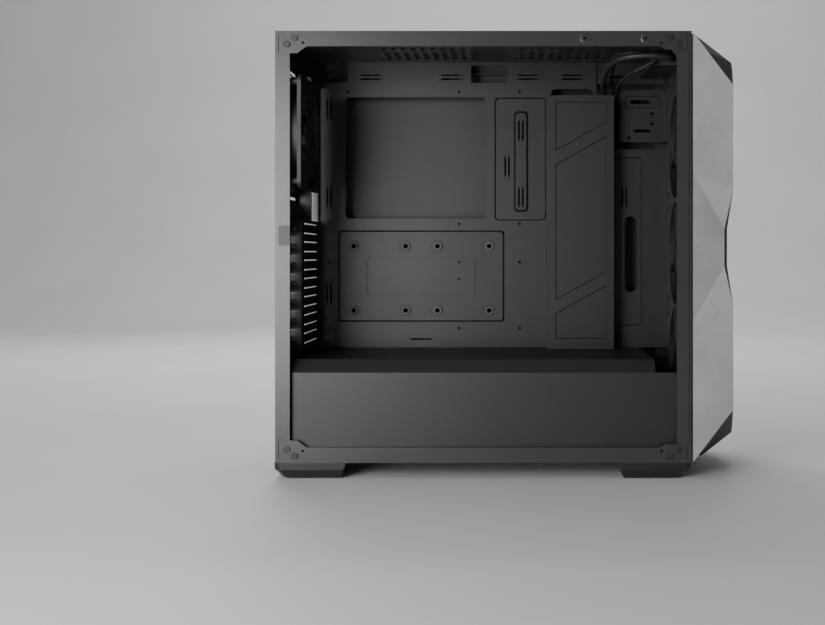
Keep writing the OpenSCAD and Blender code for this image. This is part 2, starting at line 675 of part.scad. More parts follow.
// Rotor with pitched blades between the hub and the bore
module fan_rotor(r = rotor_r, depth = fan_depth, blades = blade_count, pitch = 38) {
    translate([0, 0, 2]) cylinder(r = hub_r, h = depth - 5.6, $fn = 48);
    intersection() {
        translate([0, 0, 2.5]) difference() {
            cylinder(r = r, h = depth - 6.5, $fn = 72);
            translate([0, 0, -1]) cylinder(r = hub_r - 0.5, h = depth, $fn = 48);
        }
        for (i = [0:blades - 1]) rotate(i * 360 / blades) translate([hub_r - 2, 0, depth / 2 - 0.75])
            rotate([pitch, 0, 0]) translate([0, -15, -0.8]) cube([r, 30, 1.6]);
    }
}

// Puts a fan with its front face at y, blowing rearward
module fan_at(x, y, z) {
    translate([x, y, z]) rotate([-90, 0, 0]) children();
}

module fan_screws() {
    color([0.06, 0.06, 0.06]) {
        for (z = front_fan_z) for (a = [-1, 1], b = [-1, 1])
            translate([a * fan_holes / 2, wall_y + steel, z + b * fan_holes / 2]) rotate([-90, 0, 0]) {
                cylinder(r = 3.6, h = 2, $fn = 24);
                translate([0, 0, -9]) cylinder(r = 2, h = 9.5, $fn = 24);
            }
        for (a = [-1, 1], b = [-1, 1])
            translate([rear_fan_x + a * fan_holes / 2, rear_y, rear_fan_z + b * fan_holes / 2])
                rotate([-90, 0, 0]) {
                    cylinder(r = 3.6, h = 1.6, $fn = 24);
                    translate([0, 0, -10]) cylinder(r = 2, h = 10.5, $fn = 24);
                }
        for (p = [[-69, -27], [69, -37], [-69, 37], [69, 37]])
            translate([p[0], rear_y, psu_z + psu_height / 2 + p[1]]) rotate([-90, 0, 0]) {
                cylinder(r = 3.6, h = 1.6, $fn = 24);
                translate([0, 0, -6]) cylinder(r = 1.5, h = 6.5, $fn = 24);
            }
    }
}

// ---------- power supply ----------

module psu_housing() {
    color([0.05, 0.05, 0.052]) difference() {
        slab([-psu_x, psu_x], [psu_y, rear_y - steel - psu_plate], [psu_z, psu_z + psu_height]);
        slab([-psu_x + 1.5, psu_x - 1.5], [psu_y + 1.5, rear_y], [psu_z + 1.5, psu_z + psu_height - 1.5]);
        translate([0, psu_y + psu_length / 2, psu_z - 1]) cylinder(r = 60, h = 4, $fn = 72);
        // sockets for the plug-in leads
        for (x = [-52, -26, 0, 26], z = [20, 44])
            slab([x, x + 18], [psu_y - 1, psu_y + 3], [psu_z + z, psu_z + z + 12]);
    }
}

module psu_end_plate() {
    color([0.05, 0.05, 0.052]) y_plate(rear_y - steel - psu_plate, psu_plate) difference() {
        rect([-psu_x, psu_x], [psu_z, psu_z + psu_height]);
        translate([-22, psu_z + psu_height / 2]) honeycomb(36, 7, 8.2);
        rect([inlet_x - 14, inlet_x + 14], [inlet_z - 12, inlet_z + 12]);
        rect([switch_x - 7, switch_x + 7], [inlet_z - 10, inlet_z + 10]);
        for (p = [[-69, -27], [69, -37], [-69, 37], [69, 37]])
            translate([p[0], psu_z + psu_height / 2 + p[1]]) circle(r = 1.6, $fn = 24);
    }
}

// Wire-like guard under the fan: rings joined by spokes, with the motor's plate in the middle
module psu_fan_guard() {
    color([0.12, 0.12, 0.12]) translate([0, psu_y + psu_length / 2, psu_z]) {
        linear_extrude(1.2) {
            circle(r = 14, $fn = 48);
            for (r = [22:9:58]) difference() {
                circle(r = r + 1, $fn = 72);
                circle(r = r - 1, $fn = 72);
            }
            for (a = [0, 90]) rotate(a) square([117, 2.4], center = true);
        }
        linear_extrude(1.8) circle(r = 10, $fn = 48);
    }
}

module psu_rotor() {
    color([0.08, 0.08, 0.08]) translate([0, psu_y + psu_length / 2, psu_z + 0.4])
        fan_rotor(r = 57, depth = 20, blades = 9, pitch = 34);
}

module psu_inlet() {
    y0 = rear_y - steel - psu_plate - 14;
    color([0.03, 0.03, 0.03]) difference() {
        slab([inlet_x - 13.8, inlet_x + 13.8], [y0, rear_y - steel], [inlet_z - 11.8, inlet_z + 11.8]);
        slab([inlet_x - 11, inlet_x + 11], [y0 + 3, rear_y + 1], [inlet_z - 8.5, inlet_z + 8.5]);
    }
    color([0.8, 0.75, 0.5]) for (x = [-7, 0, 7])
        slab([inlet_x + x - 1, inlet_x + x + 1], [y0 + 2.5, rear_y - 4], [inlet_z - 2, inlet_z + 2]);
}

// Rocker, pivoting on the plate's plane, with its lower end pressed in
module psu_switch() {
    color([0.03, 0.03, 0.03]) translate([switch_x, rear_y - steel, inlet_z]) {
        translate([-6, 0, 0]) rotate([8, 0, 0]) rotate([90, 0, 90]) linear_extrude(12)
            polygon([[-4, -7.6], [2.2, -8.4], [1.2, 0], [2.2, 8.4], [-4, 7.6]]);
        translate([-6.7, 0, 0]) rotate([0, 90, 0]) cylinder(r = 1.1, h = 13.4, $fn = 24);
    }
}

module psu_filter() {
    color([0.05, 0.05, 0.05]) {
        z_plate(floor_z - 3.1, 2.6) difference() {
            rect([-filter_x, filter_x], [filter_y[0] + 2, rear_y + 1]);
            for (x = [-30, 30], y = [150, 205]) translate([x, y]) rect([-26, 26], [-24, 24]);
        }
        z_plate(floor_z - 2.2, 0.6) for (x = [-30, 30], y = [150, 205]) translate([x, y])
            rect([-26.5, 26.5], [-24.5, 24.5]);
    }
}

// ---------- drives ----------

module drive_cage() {
    top = cage_z + 2 * (bay_height + steel);
    color([0.1, 0.1, 0.105]) {
        for (y = [cage_y[0], cage_y[1] - steel]) difference() {
            slab(cage_x, [y, y + steel], [floor_z + steel, top]);
            for (z = [6, 38])
                slab([cage_x[0] + 30, cage_x[1] - 30], [y - 1, y + 2], [cage_z + z, cage_z + z + 16]);
        }
        slab(cage_x, cage_y, [top - steel, top]);
        // ledges for the trays
        for (y = [cage_y[0] + steel, cage_y[1] - steel - 4], level = [0, 1]) {
            z = cage_z + level * (bay_height + steel) - steel;
            slab([cage_x[0], cage_x[1] - 4], [y - 0.5, y + 4.5], [z, z + steel]);
        }
        // feet screwed to the floor, and a stop behind the trays
        for (y = [cage_y[0] - 8, cage_y[1] - steel])
            slab(cage_x, [y, y + 9], [floor_z + steel, floor_z + 2 * steel]);
        slab([cage_x[0], cage_x[0] + steel], cage_y, [top - 14, top]);
    }
}

// A sliding tray: base with side rails, and a handle at its outer end
module drive_tray(level) {
    z = cage_z + tray_gap + level * (bay_height + steel);
    y = [cage_y[0] + steel + 0.5, cage_y[1] - steel - 0.5];
    color([0.04, 0.04, 0.042]) difference() {
        union() {
            slab([cage_x[0] + 4, cage_x[1]], y, [z, z + 2.4]);
            for (e = [y[0], y[1] - 2]) slab([cage_x[0] + 4, cage_x[1]], [e, e + 2], [z, z + 14]);
            slab([cage_x[1], cage_x[1] + 4], [y[0] - 0.2, y[1] + 0.2], [z, z + bay_height - 3]);
            slab([cage_x[1] + 4, cage_x[1] + 8], [y[1] - 22, y[1] - 4], [z + 4, z + bay_height - 7]);
        }
        slab([cage_x[0] + 30, cage_x[1] - 30], [y[0] + 20, y[1] - 20], [z - 1, z + 4]);
        slab([cage_x[1] - 1, cage_x[1] + 5], [y[0] + 12, y[1] - 34], [z + 7, z + bay_height - 10]);
    }
}

module hard_drive() {
    z = cage_z + tray_gap + 2.4;
    y = (cage_y[0] + cage_y[1]) / 2;
    color([0.62, 0.63, 0.65]) {
        slab([cage_x[1] - 147, cage_x[1] - 1], [y - 50.6, y + 50.6], [z, z + 21]);
        translate([cage_x[1] - 60, y, z + 21]) cylinder(r = 44, h = 1.2, $fn = 72);
        slab([cage_x[1] - 143, cage_x[1] - 108], [y - 44, y + 44], [z + 21, z + 22]);
    }
}

// ---------- right side panel ----------

module right_panel() {
    y = [chassis_y + 0.5, rear_y - 0.2];
    z = [floor_z + 0.4, case_height - 0.4];
    x = [frame_x + panel_clear, half_width];
    color([0.09, 0.09, 0.095]) {
        difference() {
            slab(x, y, z);
            slab([x[0] - 1, x[1] - steel], [y[0] + steel, y[1] - steel], [z[0] + steel, z[1] - steel]);
        }
        // tabs folded round the rear edge for the thumbscrews
        for (t = thumb_z) difference() {
            slab([thumb_x - 7, x[1] - steel / 2], [tab_y, tab_y + steel], [t - 12, t + 12]);
            translate([thumb_x, tab_y - 1, t]) rotate([-90, 0, 0]) cylinder(r = 2.6, h = 4, $fn = 32);
        }
    }
}

module thumbscrew(z) {
    color([0.06, 0.06, 0.062]) translate([thumb_x, tab_y + steel, z]) rotate([-90, 0, 0]) {
        difference() {
            translate([0, 0, 0.1]) cylinder(r = 6, h = 4.4, $fn = 48);
            for (a = [0:30:330]) rotate(a) translate([6.3, 0, -1]) cylinder(r = 0.9, h = 7, $fn = 24);
            translate([-4, -0.6, 3.6]) cube([8, 1.2, 2]);
        }
        translate([0, 0, -7]) cylinder(r = 2, h = 7.2, $fn = 32);
    }
}

// ---------- front fascia ----------

// A cheek on the left side, between two distances inward of its outer skin
module cheek(from, to) {
    n = len(cheek_points);
    outer = [for (p = cheek_points) [-half_width + p[0] + from, p[1], p[2]]];
    inner = [for (p = cheek_points) [-half_width + p[0] + to, p[1], p[2]]];
    rim = [for (i = [0:n - 1]) let (a = cheek_rim[i], b = cheek_rim[(i + 1) % n]) [a, b, b + n, a + n]];
    polyhedron(concat(outer, inner),
               concat(cheek_facets, [for (f = cheek_facets) [for (i = [len(f) - 1:-1:0]) f[i] + n]], rim));
}

module cheek_left() {
    color([0.55, 0.56, 0.57]) cheek(0, 3);
}

module cheek_right() {
    color([0.55, 0.56, 0.57]) mirror([1, 0, 0]) cheek(0, 3);
}

// One point of a section, moved inward by inset except at the open rear edge
function fascia_point(x, p, i, waist_in, inset) =
    [i == 6 ? x - sign(x) * waist_in : x, p[0] + (i < 2 ? (inset > 0 ? 2 : 0) : inset),
     p[1] - (i > 0 && i < 4 ? inset : 0)];
function fascia_section(x, profile, waist_in, inset) = let (
    upper = [for (i = [0:6]) fascia_point(x, profile[i], i, waist_in, inset)])
    [for (i = [0:13]) let (p = upper[i < 7 ? i : 13 - i]) [p[0], p[1], waist_z + (i < 7 ? p[2] : -p[2])]];

// The fascia's solid form, lofted through its sections and shrunk by inset
module fascia_form(inset = 0) {
    edge = fascia_x - inset;
    sections = [fascia_section(-edge, profile_edge, 10.5, inset), fascia_section(-60, profile_mid, 0, inset),
                fascia_section(0, profile_ridge, 0, inset), fascia_section(60, profile_mid, 0, inset),
                fascia_section(edge, profile_edge, 10.5, inset)];
    sides = [for (s = [0:3], i = [0:13]) let (j = (i + 1) % 14)
        for (t = [[s * 14 + j, s * 14 + i, s * 14 + 14 + j], [s * 14 + 14 + j, s * 14 + i, s * 14 + 14 + i]]) t];
    polyhedron([for (s = sections) for (p = s) p],
               concat(fascia_cap, sides, [for (t = fascia_cap) [56 + t[2], 56 + t[1], 56 + t[0]]]));
}

// The opening that the mesh fills, seen from the front
module mesh_outline(g = 0) {
    half = [[52 + g, 197 + g], [95 + g, 163 + g], [95 + g, 61], [84 + g, 20]];
    polygon(concat([for (p = half) [p[0], waist_z + p[1]]],
                   [for (i = [3:-1:0]) [half[i][0], waist_z - half[i][1]]],
                   [for (p = half) [-p[0], waist_z - p[1]]],
                   [for (i = [3:-1:0]) [-half[i][0], waist_z + half[i][1]]]));
}

module front_shell() {
    color([0.03, 0.03, 0.032]) difference() {
        fascia_form();
        fascia_form(3);
        y_plate(front_y - 5, 40) mesh_outline();
    }
}

module front_mesh() {
    color([0.04, 0.04, 0.042]) intersection() {
        difference() {
            fascia_form();
            fascia_form(1.4);
        }
        y_plate(front_y - 5, 40) mesh_outline(-0.15);
    }
}

module front_filter() {
    y = front_y + 33;
    color([0.05, 0.05, 0.05]) {
        y_plate(y, 2) difference() {
            rect([-84, 84], [waist_z - 186, waist_z + 186]);
            for (z = [-124, 0, 124]) rect([-78, 78], [waist_z + z - 58, waist_z + z + 58]);
        }
        y_plate(y + 0.7, 0.6) for (z = [-124, 0, 124])
            rect([-78.5, 78.5], [waist_z + z - 58.5, waist_z + z + 58.5]);
    }
}

// ---------- port panel on the roof ----------

module io_panel() {
    color([0.025, 0.025, 0.027]) {
        difference() {
            slab([io_panel_x[0] - 45.8, io_panel_x[1] + 0.8], [io_panel_y[0] + 0.2, io_panel_y[1] - 0.2],
                 [roof_z, case_height]);
            translate([power_pos[0], power_pos[1], roof_z - 1]) cylinder(r = 8.3, h = 10, $fn = 48);
            translate([reset_pos[0], reset_pos[1], roof_z - 1]) cylinder(r = 3.3, h = 10, $fn = 36);
            for (x = usb_x)
                slab([x - 7, x + 7], [power_pos[1] - 3.2, power_pos[1] + 3.2], [roof_z - 1, case_height + 1]);
            for (x = jack_x) translate([x, power_pos[1], roof_z - 1]) cylinder(r = 3, h = 10, $fn = 36);
        }
        difference() {
            slab([io_panel_x[0], io_panel_x[1]], [io_panel_y[0] + 1, io_panel_y[1] - 1], [roof_z - 20, roof_z]);
            for (x = usb_x)
                slab([x - 7, x + 7], [power_pos[1] - 3.2, power_pos[1] + 3.2], [roof_z - 14, roof_z + 1]);
            for (x = jack_x) translate([x, power_pos[1], roof_z - 14]) cylinder(r = 3, h = 20, $fn = 36);
        }
        // seat behind the two buttons
        slab([io_panel_x[0] - 44, io_panel_x[0]], [io_panel_y[0] + 4, io_panel_y[1] - 4],
             [roof_z - 8, roof_z - 5]);
        for (x = [io_panel_x[0] - 44, io_panel_x[0] - 1])
            slab([x, x + 1], [io_panel_y[0] + 4, io_panel_y[1] - 4], [roof_z - 8, roof_z]);
    }
}

module io_sockets() {
    y = power_pos[1];
    color([0.6, 0.6, 0.62]) for (x = usb_x) difference() {
        slab([x - 6.8, x + 6.8], [y - 3, y + 3], [roof_z - 13, case_height - 0.3]);
        slab([x - 6.4, x + 6.4], [y - 2.6, y + 2.6], [roof_z - 12, case_height + 1]);
    }
    color([0.05, 0.15, 0.5]) for (x = usb_x)
        slab([x - 5.6, x + 5.6], [y + 0.4, y + 2.2], [roof_z - 12.5, case_height - 1.2]);
    color([0.05, 0.05, 0.05]) for (x = jack_x) translate([x, y, roof_z - 13]) difference() {
        cylinder(r = 2.9, h = 16.6, $fn = 36);
        translate([0, 0, 1]) cylinder(r = 1.75, h = 17, $fn = 36);
    }
}

module power_button() {
    color([0.08, 0.08, 0.085]) translate([power_pos[0], power_pos[1], roof_z - 3]) {
        cylinder(r = 8, h = 7.4, $fn = 48);
        cylinder(r = 9.6, h = 2.7, $fn = 48);
    }
}

module reset_button() {
    color([0.08, 0.08, 0.085]) translate([reset_pos[0], reset_pos[1], roof_z - 3]) {
        cylinder(r = 3, h = 7.2, $fn = 36);
        cylinder(r = 4.4, h = 2.7, $fn = 36);
    }
}

module top_filter() {
    x = 90.5;
    y = [chassis_y + 41.5, rear_y - 11.5];
    z = roof_z + steel;
    windows = 3;
    span = (y[1] - y[0] - 8) / windows;
    color([0.05, 0.05, 0.05]) {
        z_plate(z + 0.1, 2.4) difference() {
            rect([-x, x], y);
            for (i = [0:windows - 1], s = [-1, 1]) translate([s * (x / 2 - 0.5), y[0] + 4 + (i + 0.5) * span])
                square([x - 9, span - 8], center = true);
        }
        z_plate(z + 0.9, 0.6) for (i = [0:windows - 1], s = [-1, 1])
            translate([s * (x / 2 - 0.5), y[0] + 4 + (i + 0.5) * span]) square([x - 8, span - 7], center = true);
    }
}

// ---------- feet ----------

// Plan of the foot between two ends, with its outer corner cut off
module foot_plan(side, ends, z) {
    translate([0, 0, z]) linear_extrude(0.1) polygon([
        [-frame_x + side, ends[1]], [-frame_x + side, ends[0] + foot_corner],
        [-frame_x + side + foot_corner, ends[0]],
        [-frame_x + foot_width - side / 2, ends[0]], [-frame_x + foot_width - side / 2, ends[1]]]);
}

module foot() {
    hull() {
        foot_plan(0, [0, foot_length], floor_z - 0.1);
        foot_plan(0.4, [0.6, foot_length - 3.4], floor_z - foot_band);
        foot_plan(5, [9, foot_length - 5.8], pad_z);
    }
}

module foot_place(front, right) {
    y = front ? chassis_y + 0.5 : rear_y + 2;
    mirror([right ? 1 : 0, 0, 0]) translate([0, y, 0]) mirror([0, front ? 0 : 1, 0]) foot();
}

module one_foot(front, right) {
    color([0.07, 0.07, 0.075]) foot_place(front, right);
}

module foot_pads() {
    color([0.03, 0.03, 0.03]) both_sides() for (y = [rear_y + 2 - foot_length + 11, chassis_y + 0.5 + 14])
        z_plate(0, pad_z) round_rect([-frame_x + 9, -frame_x + foot_width - 5], [y, y + 50], 6);
}

// ---------- leads from the port panel ----------

// A point between b and c on a smooth curve through the route
function spline(a, b, c, d, t) =
    (2 * b + (c - a) * t + (2 * a - 5 * b + 4 * c - d) * t * t + (3 * b - a - 3 * c + d) * t * t * t) / 2;
function smooth(r, steps) = let (n = len(r) - 1) concat(
    [for (i = [0:n - 1], k = [0:steps - 1]) spline(r[max(i - 1, 0)], r[i], r[i + 1], r[min(i + 2, n)], k / steps)],
    [r[n]]);
function unit(v) = v / norm(v);
// A side vector for each ring, carried along so the tube does not twist
function side_vectors(t, i, u) = i == len(t) ? [] : let (v = unit(u - (u * t[i]) * t[i]))
    concat([v], side_vectors(t, i + 1, v));

// A tube swept along a route
module lead(route, d, sides) {
    p = smooth(route, 2);
    n = len(p);
    tangent = [for (i = [0:n - 1]) unit(p[min(i + 1, n - 1)] - p[max(i - 1, 0)])];
    side = side_vectors(tangent, 0, [0.2, 0.3, 1]);
    points = [for (i = [0:n - 1]) let (v = cross(tangent[i], side[i])) for (k = [0:sides - 1])
        p[i] + d / 2 * (side[i] * cos(360 * k / sides) + v * sin(360 * k / sides))];
    walls = [for (i = [0:n - 2], k = [0:sides - 1]) let (a = i * sides + k, b = i * sides + (k + 1) % sides)
        for (t = [[a, a + sides, b + sides], [a, b + sides, b]]) t];
    far_end = [for (k = [sides - 1:-1:0]) (n - 1) * sides + k];
    polyhedron(points, concat([[for (k = [0:sides - 1]) k]], walls, [far_end]));
}

module front_panel_leads() {
    color([0.03, 0.03, 0.03]) {
        lead(usb_route, 7, 12);
        lead(audio_route, 4.4, 8);
        lead(switch_route, 4, 8);
    }
}

// ---------- every node ----------

floor_pan();
roof_panel();
rear_panel();
front_wall();
motherboard_tray();
psu_shroud();
cable_cover();
front_bracket();
ssd_bracket();
ssd_grommets();
post_insert();
for (i = [1:slot_count]) slot_cover(i);
slot_screws();
corner_rivets();
color([0.05, 0.05, 0.05]) fan_at(rear_fan_x, rear_fan_y, rear_fan_z) fan_frame();  // rear_fan_frame
color([0.1, 0.1, 0.1]) fan_at(rear_fan_x, rear_fan_y, rear_fan_z) fan_rotor();  // rear_fan_rotor
for (i = [1:3]) color([0.05, 0.05, 0.05]) fan_at(0, front_fan_y, front_fan_z[i - 1]) fan_frame();
for (i = [1:3]) color([0.1, 0.1, 0.1]) fan_at(0, front_fan_y, front_fan_z[i - 1]) fan_rotor();
fan_screws();
psu_housing();
psu_end_plate();
psu_fan_guard();
psu_rotor();
psu_inlet();
psu_switch();
drive_cage();
drive_tray(1);  // drive_tray_upper
drive_tray(0);  // drive_tray_lower
hard_drive();
right_panel();
thumbscrew(thumb_z[1]);  // thumbscrew_upper
thumbscrew(thumb_z[0]);  // thumbscrew_lower
front_shell();
cheek_left();
cheek_right();
front_mesh();
front_filter();
io_panel();
io_sockets();
power_button();
reset_button();
top_filter();
psu_filter();
one_foot(false, false);  // foot_rear_left
one_foot(false, true);  // foot_rear_right
one_foot(true, false);  // foot_front_left
one_foot(true, true);  // foot_front_right
foot_pads();
front_panel_leads();
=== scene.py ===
"""Looks of an open mid-tower computer case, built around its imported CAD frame. Units are metres."""
import math

import bmesh
import bpy
from mathutils import Matrix, Vector


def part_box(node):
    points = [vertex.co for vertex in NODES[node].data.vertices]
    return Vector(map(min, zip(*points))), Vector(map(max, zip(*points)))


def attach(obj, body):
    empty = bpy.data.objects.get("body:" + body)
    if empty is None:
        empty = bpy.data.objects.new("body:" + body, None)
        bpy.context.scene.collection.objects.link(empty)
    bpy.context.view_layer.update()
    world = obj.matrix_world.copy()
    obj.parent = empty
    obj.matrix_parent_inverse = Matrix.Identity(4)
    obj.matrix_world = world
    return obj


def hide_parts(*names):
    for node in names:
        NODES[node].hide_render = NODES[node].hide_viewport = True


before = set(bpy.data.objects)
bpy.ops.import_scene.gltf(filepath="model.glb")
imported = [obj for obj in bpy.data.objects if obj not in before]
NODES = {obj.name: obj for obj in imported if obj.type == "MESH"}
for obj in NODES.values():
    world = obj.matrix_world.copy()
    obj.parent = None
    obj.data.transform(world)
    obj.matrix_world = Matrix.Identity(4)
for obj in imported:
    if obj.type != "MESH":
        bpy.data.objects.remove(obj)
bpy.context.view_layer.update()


# ---------- materials ----------

class Graph:
    """A material's node tree, with short calls for what is used here. Textures run on row coordinates."""

    def __init__(self, name):
        self.mat = bpy.data.materials.new(name)
        self.mat.use_nodes = True
        self.tree = self.mat.node_tree
        self.shader = self.tree.nodes["Principled BSDF"]
        self.coord = self.add("ShaderNodeTexCoord").outputs["Object"]

    def add(self, kind, **values):
        node = self.tree.nodes.new(kind)
        for key, value in values.items():
            setattr(node, key, value)
        return node

    def link(self, a, b):
        self.tree.links.new(a, b)

    def stretched(self, scale):
        """The row coordinates, scaled by axis."""
        node = self.add("ShaderNodeMapping")
        node.inputs["Scale"].default_value = scale
        self.link(self.coord, node.inputs["Vector"])
        return node.outputs["Vector"]

    def noise(self, scale, detail=3.0, rough=0.5, vector=None):
        node = self.add("ShaderNodeTexNoise")
        node.inputs["Scale"].default_value = scale
        node.inputs["Detail"].default_value = detail
        node.inputs["Roughness"].default_value = rough
        self.link(vector or self.coord, node.inputs["Vector"])
        return node.outputs["Fac"]

    def cells(self, scale, vector=None, feature="F1"):
        node = self.add("ShaderNodeTexVoronoi", feature=feature)
        node.inputs["Scale"].default_value = scale
        self.link(vector or self.coord, node.inputs["Vector"])
        return node.outputs["Distance"]

    def spread(self, value, low, high, start=0.35, end=0.65):
        """A value mapped from start..end to low..high."""
        node = self.add("ShaderNodeMapRange")
        node.inputs["From Min"].default_value = start
        node.inputs["From Max"].default_value = end
        node.inputs["To Min"].default_value = low
        node.inputs["To Max"].default_value = high
        self.link(value, node.inputs["Value"])
        return node.outputs["Result"]

    def math(self, operation, a, b=None):
        node = self.add("ShaderNodeMath", operation=operation)
        for socket, value in zip(node.inputs, (a, b)):
            if value is None:
                continue
            if isinstance(value, (int, float)):
                socket.default_value = value
            else:
                self.link(value, socket)
        return node.outputs[0]

    def blend(self, value, dark, light):
        node = self.add("ShaderNodeMix", data_type="RGBA")
        node.inputs["A"].default_value = (*dark, 1)
        node.inputs["B"].default_value = (*light, 1)
        self.link(value, node.inputs["Factor"])
        return node.outputs["Result"]

    def bump(self, height, distance, strength=1.0, under=None):
        node = self.add("ShaderNodeBump")
        node.inputs["Distance"].default_value = distance
        node.inputs["Strength"].default_value = strength
        self.link(height, node.inputs["Height"])
        if under is not None:
            self.link(under, node.inputs["Normal"])
        return node.outputs["Normal"]

    def set(self, **sockets):
        names = {"color": "Base Color", "rough": "Roughness", "metal": "Metallic", "normal": "Normal",
                 "coat": "Coat Weight", "coat_rough": "Coat Roughness", "specular": "Specular IOR Level"}
        for key, value in sockets.items():
            socket = self.shader.inputs[names[key]]
            if isinstance(value, bpy.types.NodeSocket):
                self.link(value, socket)
            else:
                socket.default_value = (*value, 1) if isinstance(value, tuple) else value
        return self.mat


def grey(v, warm=0.0):
    """A grey of brightness v, warmer or cooler."""
    return (v * (1 + warm), v, v * (1 - warm))


def powder_coat(name, value, rough, grain, depth, metal=0.0):
    """Powder-coated sheet: a fine orange-peel grain, faint handling marks and slow changes of tone."""
    g = Graph(name)
    peel = g.noise(grain, 2.0, 0.6)
    tone = g.noise(9.0, 4.0, 0.55)
    marks = g.noise(70.0, 5.0, 0.7)
    speck = g.spread(g.noise(grain * 0.55, 1.0), 0.0, 1.0, 0.3, 0.7)
    both = g.math("MULTIPLY", g.spread(tone, 0.88, 1.0), g.spread(speck, 0.7, 1.0, 0.0, 1.0))
    colour = g.blend(both, grey(value * 0.78, -0.02), grey(value * 1.12, -0.02))
    roughness = g.math("ADD", g.spread(marks, rough - 0.012, rough + 0.012), g.spread(tone, -0.01, 0.01))
    return g.set(color=colour, rough=roughness, metal=metal, normal=g.bump(peel, depth, 0.5), specular=0.5)


def moulded(name, value, rough, grain, depth, warm=0.0, coat=0.0):
    """Moulded plastic with an etched grain."""
    g = Graph(name)
    etched = g.cells(grain)
    tone = g.noise(14.0, 4.0, 0.6)
    colour = g.blend(g.spread(tone, 0.0, 1.0), grey(value * 0.88, warm), grey(value * 1.1, warm))
    roughness = g.math("ADD", g.spread(tone, rough - 0.04, rough + 0.04),
                       g.spread(etched, -0.03, 0.05, 0.1, 0.7))
    return g.set(color=colour, rough=roughness, normal=g.bump(etched, depth, 0.5), coat=coat, coat_rough=0.2)


def brushed(name, value, rough, stretch, warm=0.0):
    """Plated or machined metal with fine lines along one axis."""
    g = Graph(name)
    lines = g.noise(900.0, 2.0, 0.6, g.stretched(stretch))
    tone = g.noise(60.0, 3.0)
    colour = g.blend(g.spread(tone, 0.0, 1.0), grey(value * 0.86, warm), grey(value * 1.06, warm))
    roughness = g.spread(lines, rough - 0.07, rough + 0.09)
    return g.set(color=colour, rough=roughness, metal=1.0, normal=g.bump(lines, 0.00003, 0.5))


def rubbery(name, value, rough):
    """Matt rubber with a fine grain and a little dust."""
    g = Graph(name)
    fine = g.noise(1500.0, 3.0, 0.7)
    dust = g.noise(35.0, 4.0, 0.7)
    colour = g.blend(g.spread(dust, 0.0, 1.0), grey(value * 0.85), grey(value * 1.25, 0.02))
    return g.set(color=colour, rough=g.spread(dust, rough - 0.06, rough + 0.06),
                 normal=g.bump(fine, 0.00006, 0.6))


def netting(name, value, pitch):
    """Fine dust-filter net: crossed threads of the given pitch, with the gaps between threads coloured darker
    as painted shade.
    """
    g = Graph(name)
    threads = []
    for axis in ((1, 0, 0), (0, 1, 0), (0, 0, 1)):
        node = g.add("ShaderNodeVectorMath", operation="DOT_PRODUCT")
        node.inputs[1].default_value = axis
        g.link(g.coord, node.inputs[0])
        wave = g.math("SINE", g.math("MULTIPLY", node.outputs["Value"], 2 * math.pi / pitch))
        threads.append(g.math("ABSOLUTE", wave))
    weave = g.math("MAXIMUM", g.math("MAXIMUM", threads[0], threads[1]), threads[2])
    tone = g.noise(30.0, 4.0)
    depth = g.spread(weave, 0.0, 1.0, 0.75, 1.0)
    # the colour is darker in the gaps between threads as painted shade; the threads stay lighter
    threads_and_gap_shade = g.math("MULTIPLY", depth, g.spread(tone, 0.7, 1.0))
    return g.set(color=g.blend(threads_and_gap_shade, grey(value * 0.35), grey(value * 1.5)), rough=0.62,
                 normal=g.bump(depth, 0.00015, 0.8))


MATS = {
    "frame": powder_coat("frame_coat", 0.03, 0.3, 2600.0, 0.00004),
    # the interior coat is the frame's own paint made darker, as painted shade for the shaded inside of the
    # case
    "inside": powder_coat("inside_coat", 0.011, 0.44, 1900.0, 0.00006),
    "psu": powder_coat("supply_coat", 0.035, 0.45, 2300.0, 0.00005),
    "plastic": moulded("black_plastic", 0.022, 0.42, 2600.0, 0.00004),
    "fan": moulded("fan_plastic", 0.012, 0.5, 3200.0, 0.00003),
    "blade": moulded("blade_plastic", 0.02, 0.28, 3600.0, 0.00002, coat=0.2),
    "foot": moulded("foot_plastic", 0.012, 0.36, 2400.0, 0.00004),
    "cheek": moulded("cheek_plastic", 0.33, 0.34, 3400.0, 0.00003, -0.01),
    "shell": moulded("shell_plastic", 0.006, 0.4, 2800.0, 0.00004),
    "rubber": rubbery("grommet_rubber", 0.045, 0.5),
    "cable": rubbery("lead_jacket", 0.022, 0.5),
    "black_metal": powder_coat("blackened_steel", 0.05, 0.24, 3000.0, 0.00003, 0.5),
    "nickel": brushed("nickel_plate", 0.68, 0.24, (6.0, 1.0, 1.0)),
    "alloy": brushed("cast_alloy", 0.58, 0.4, (1.0, 1.0, 5.0)),
    "mesh": powder_coat("mesh_coat", 0.03, 0.42, 2600.0, 0.00004, 0.3),
    "net": netting("filter_net", 0.035, 0.0012),
}

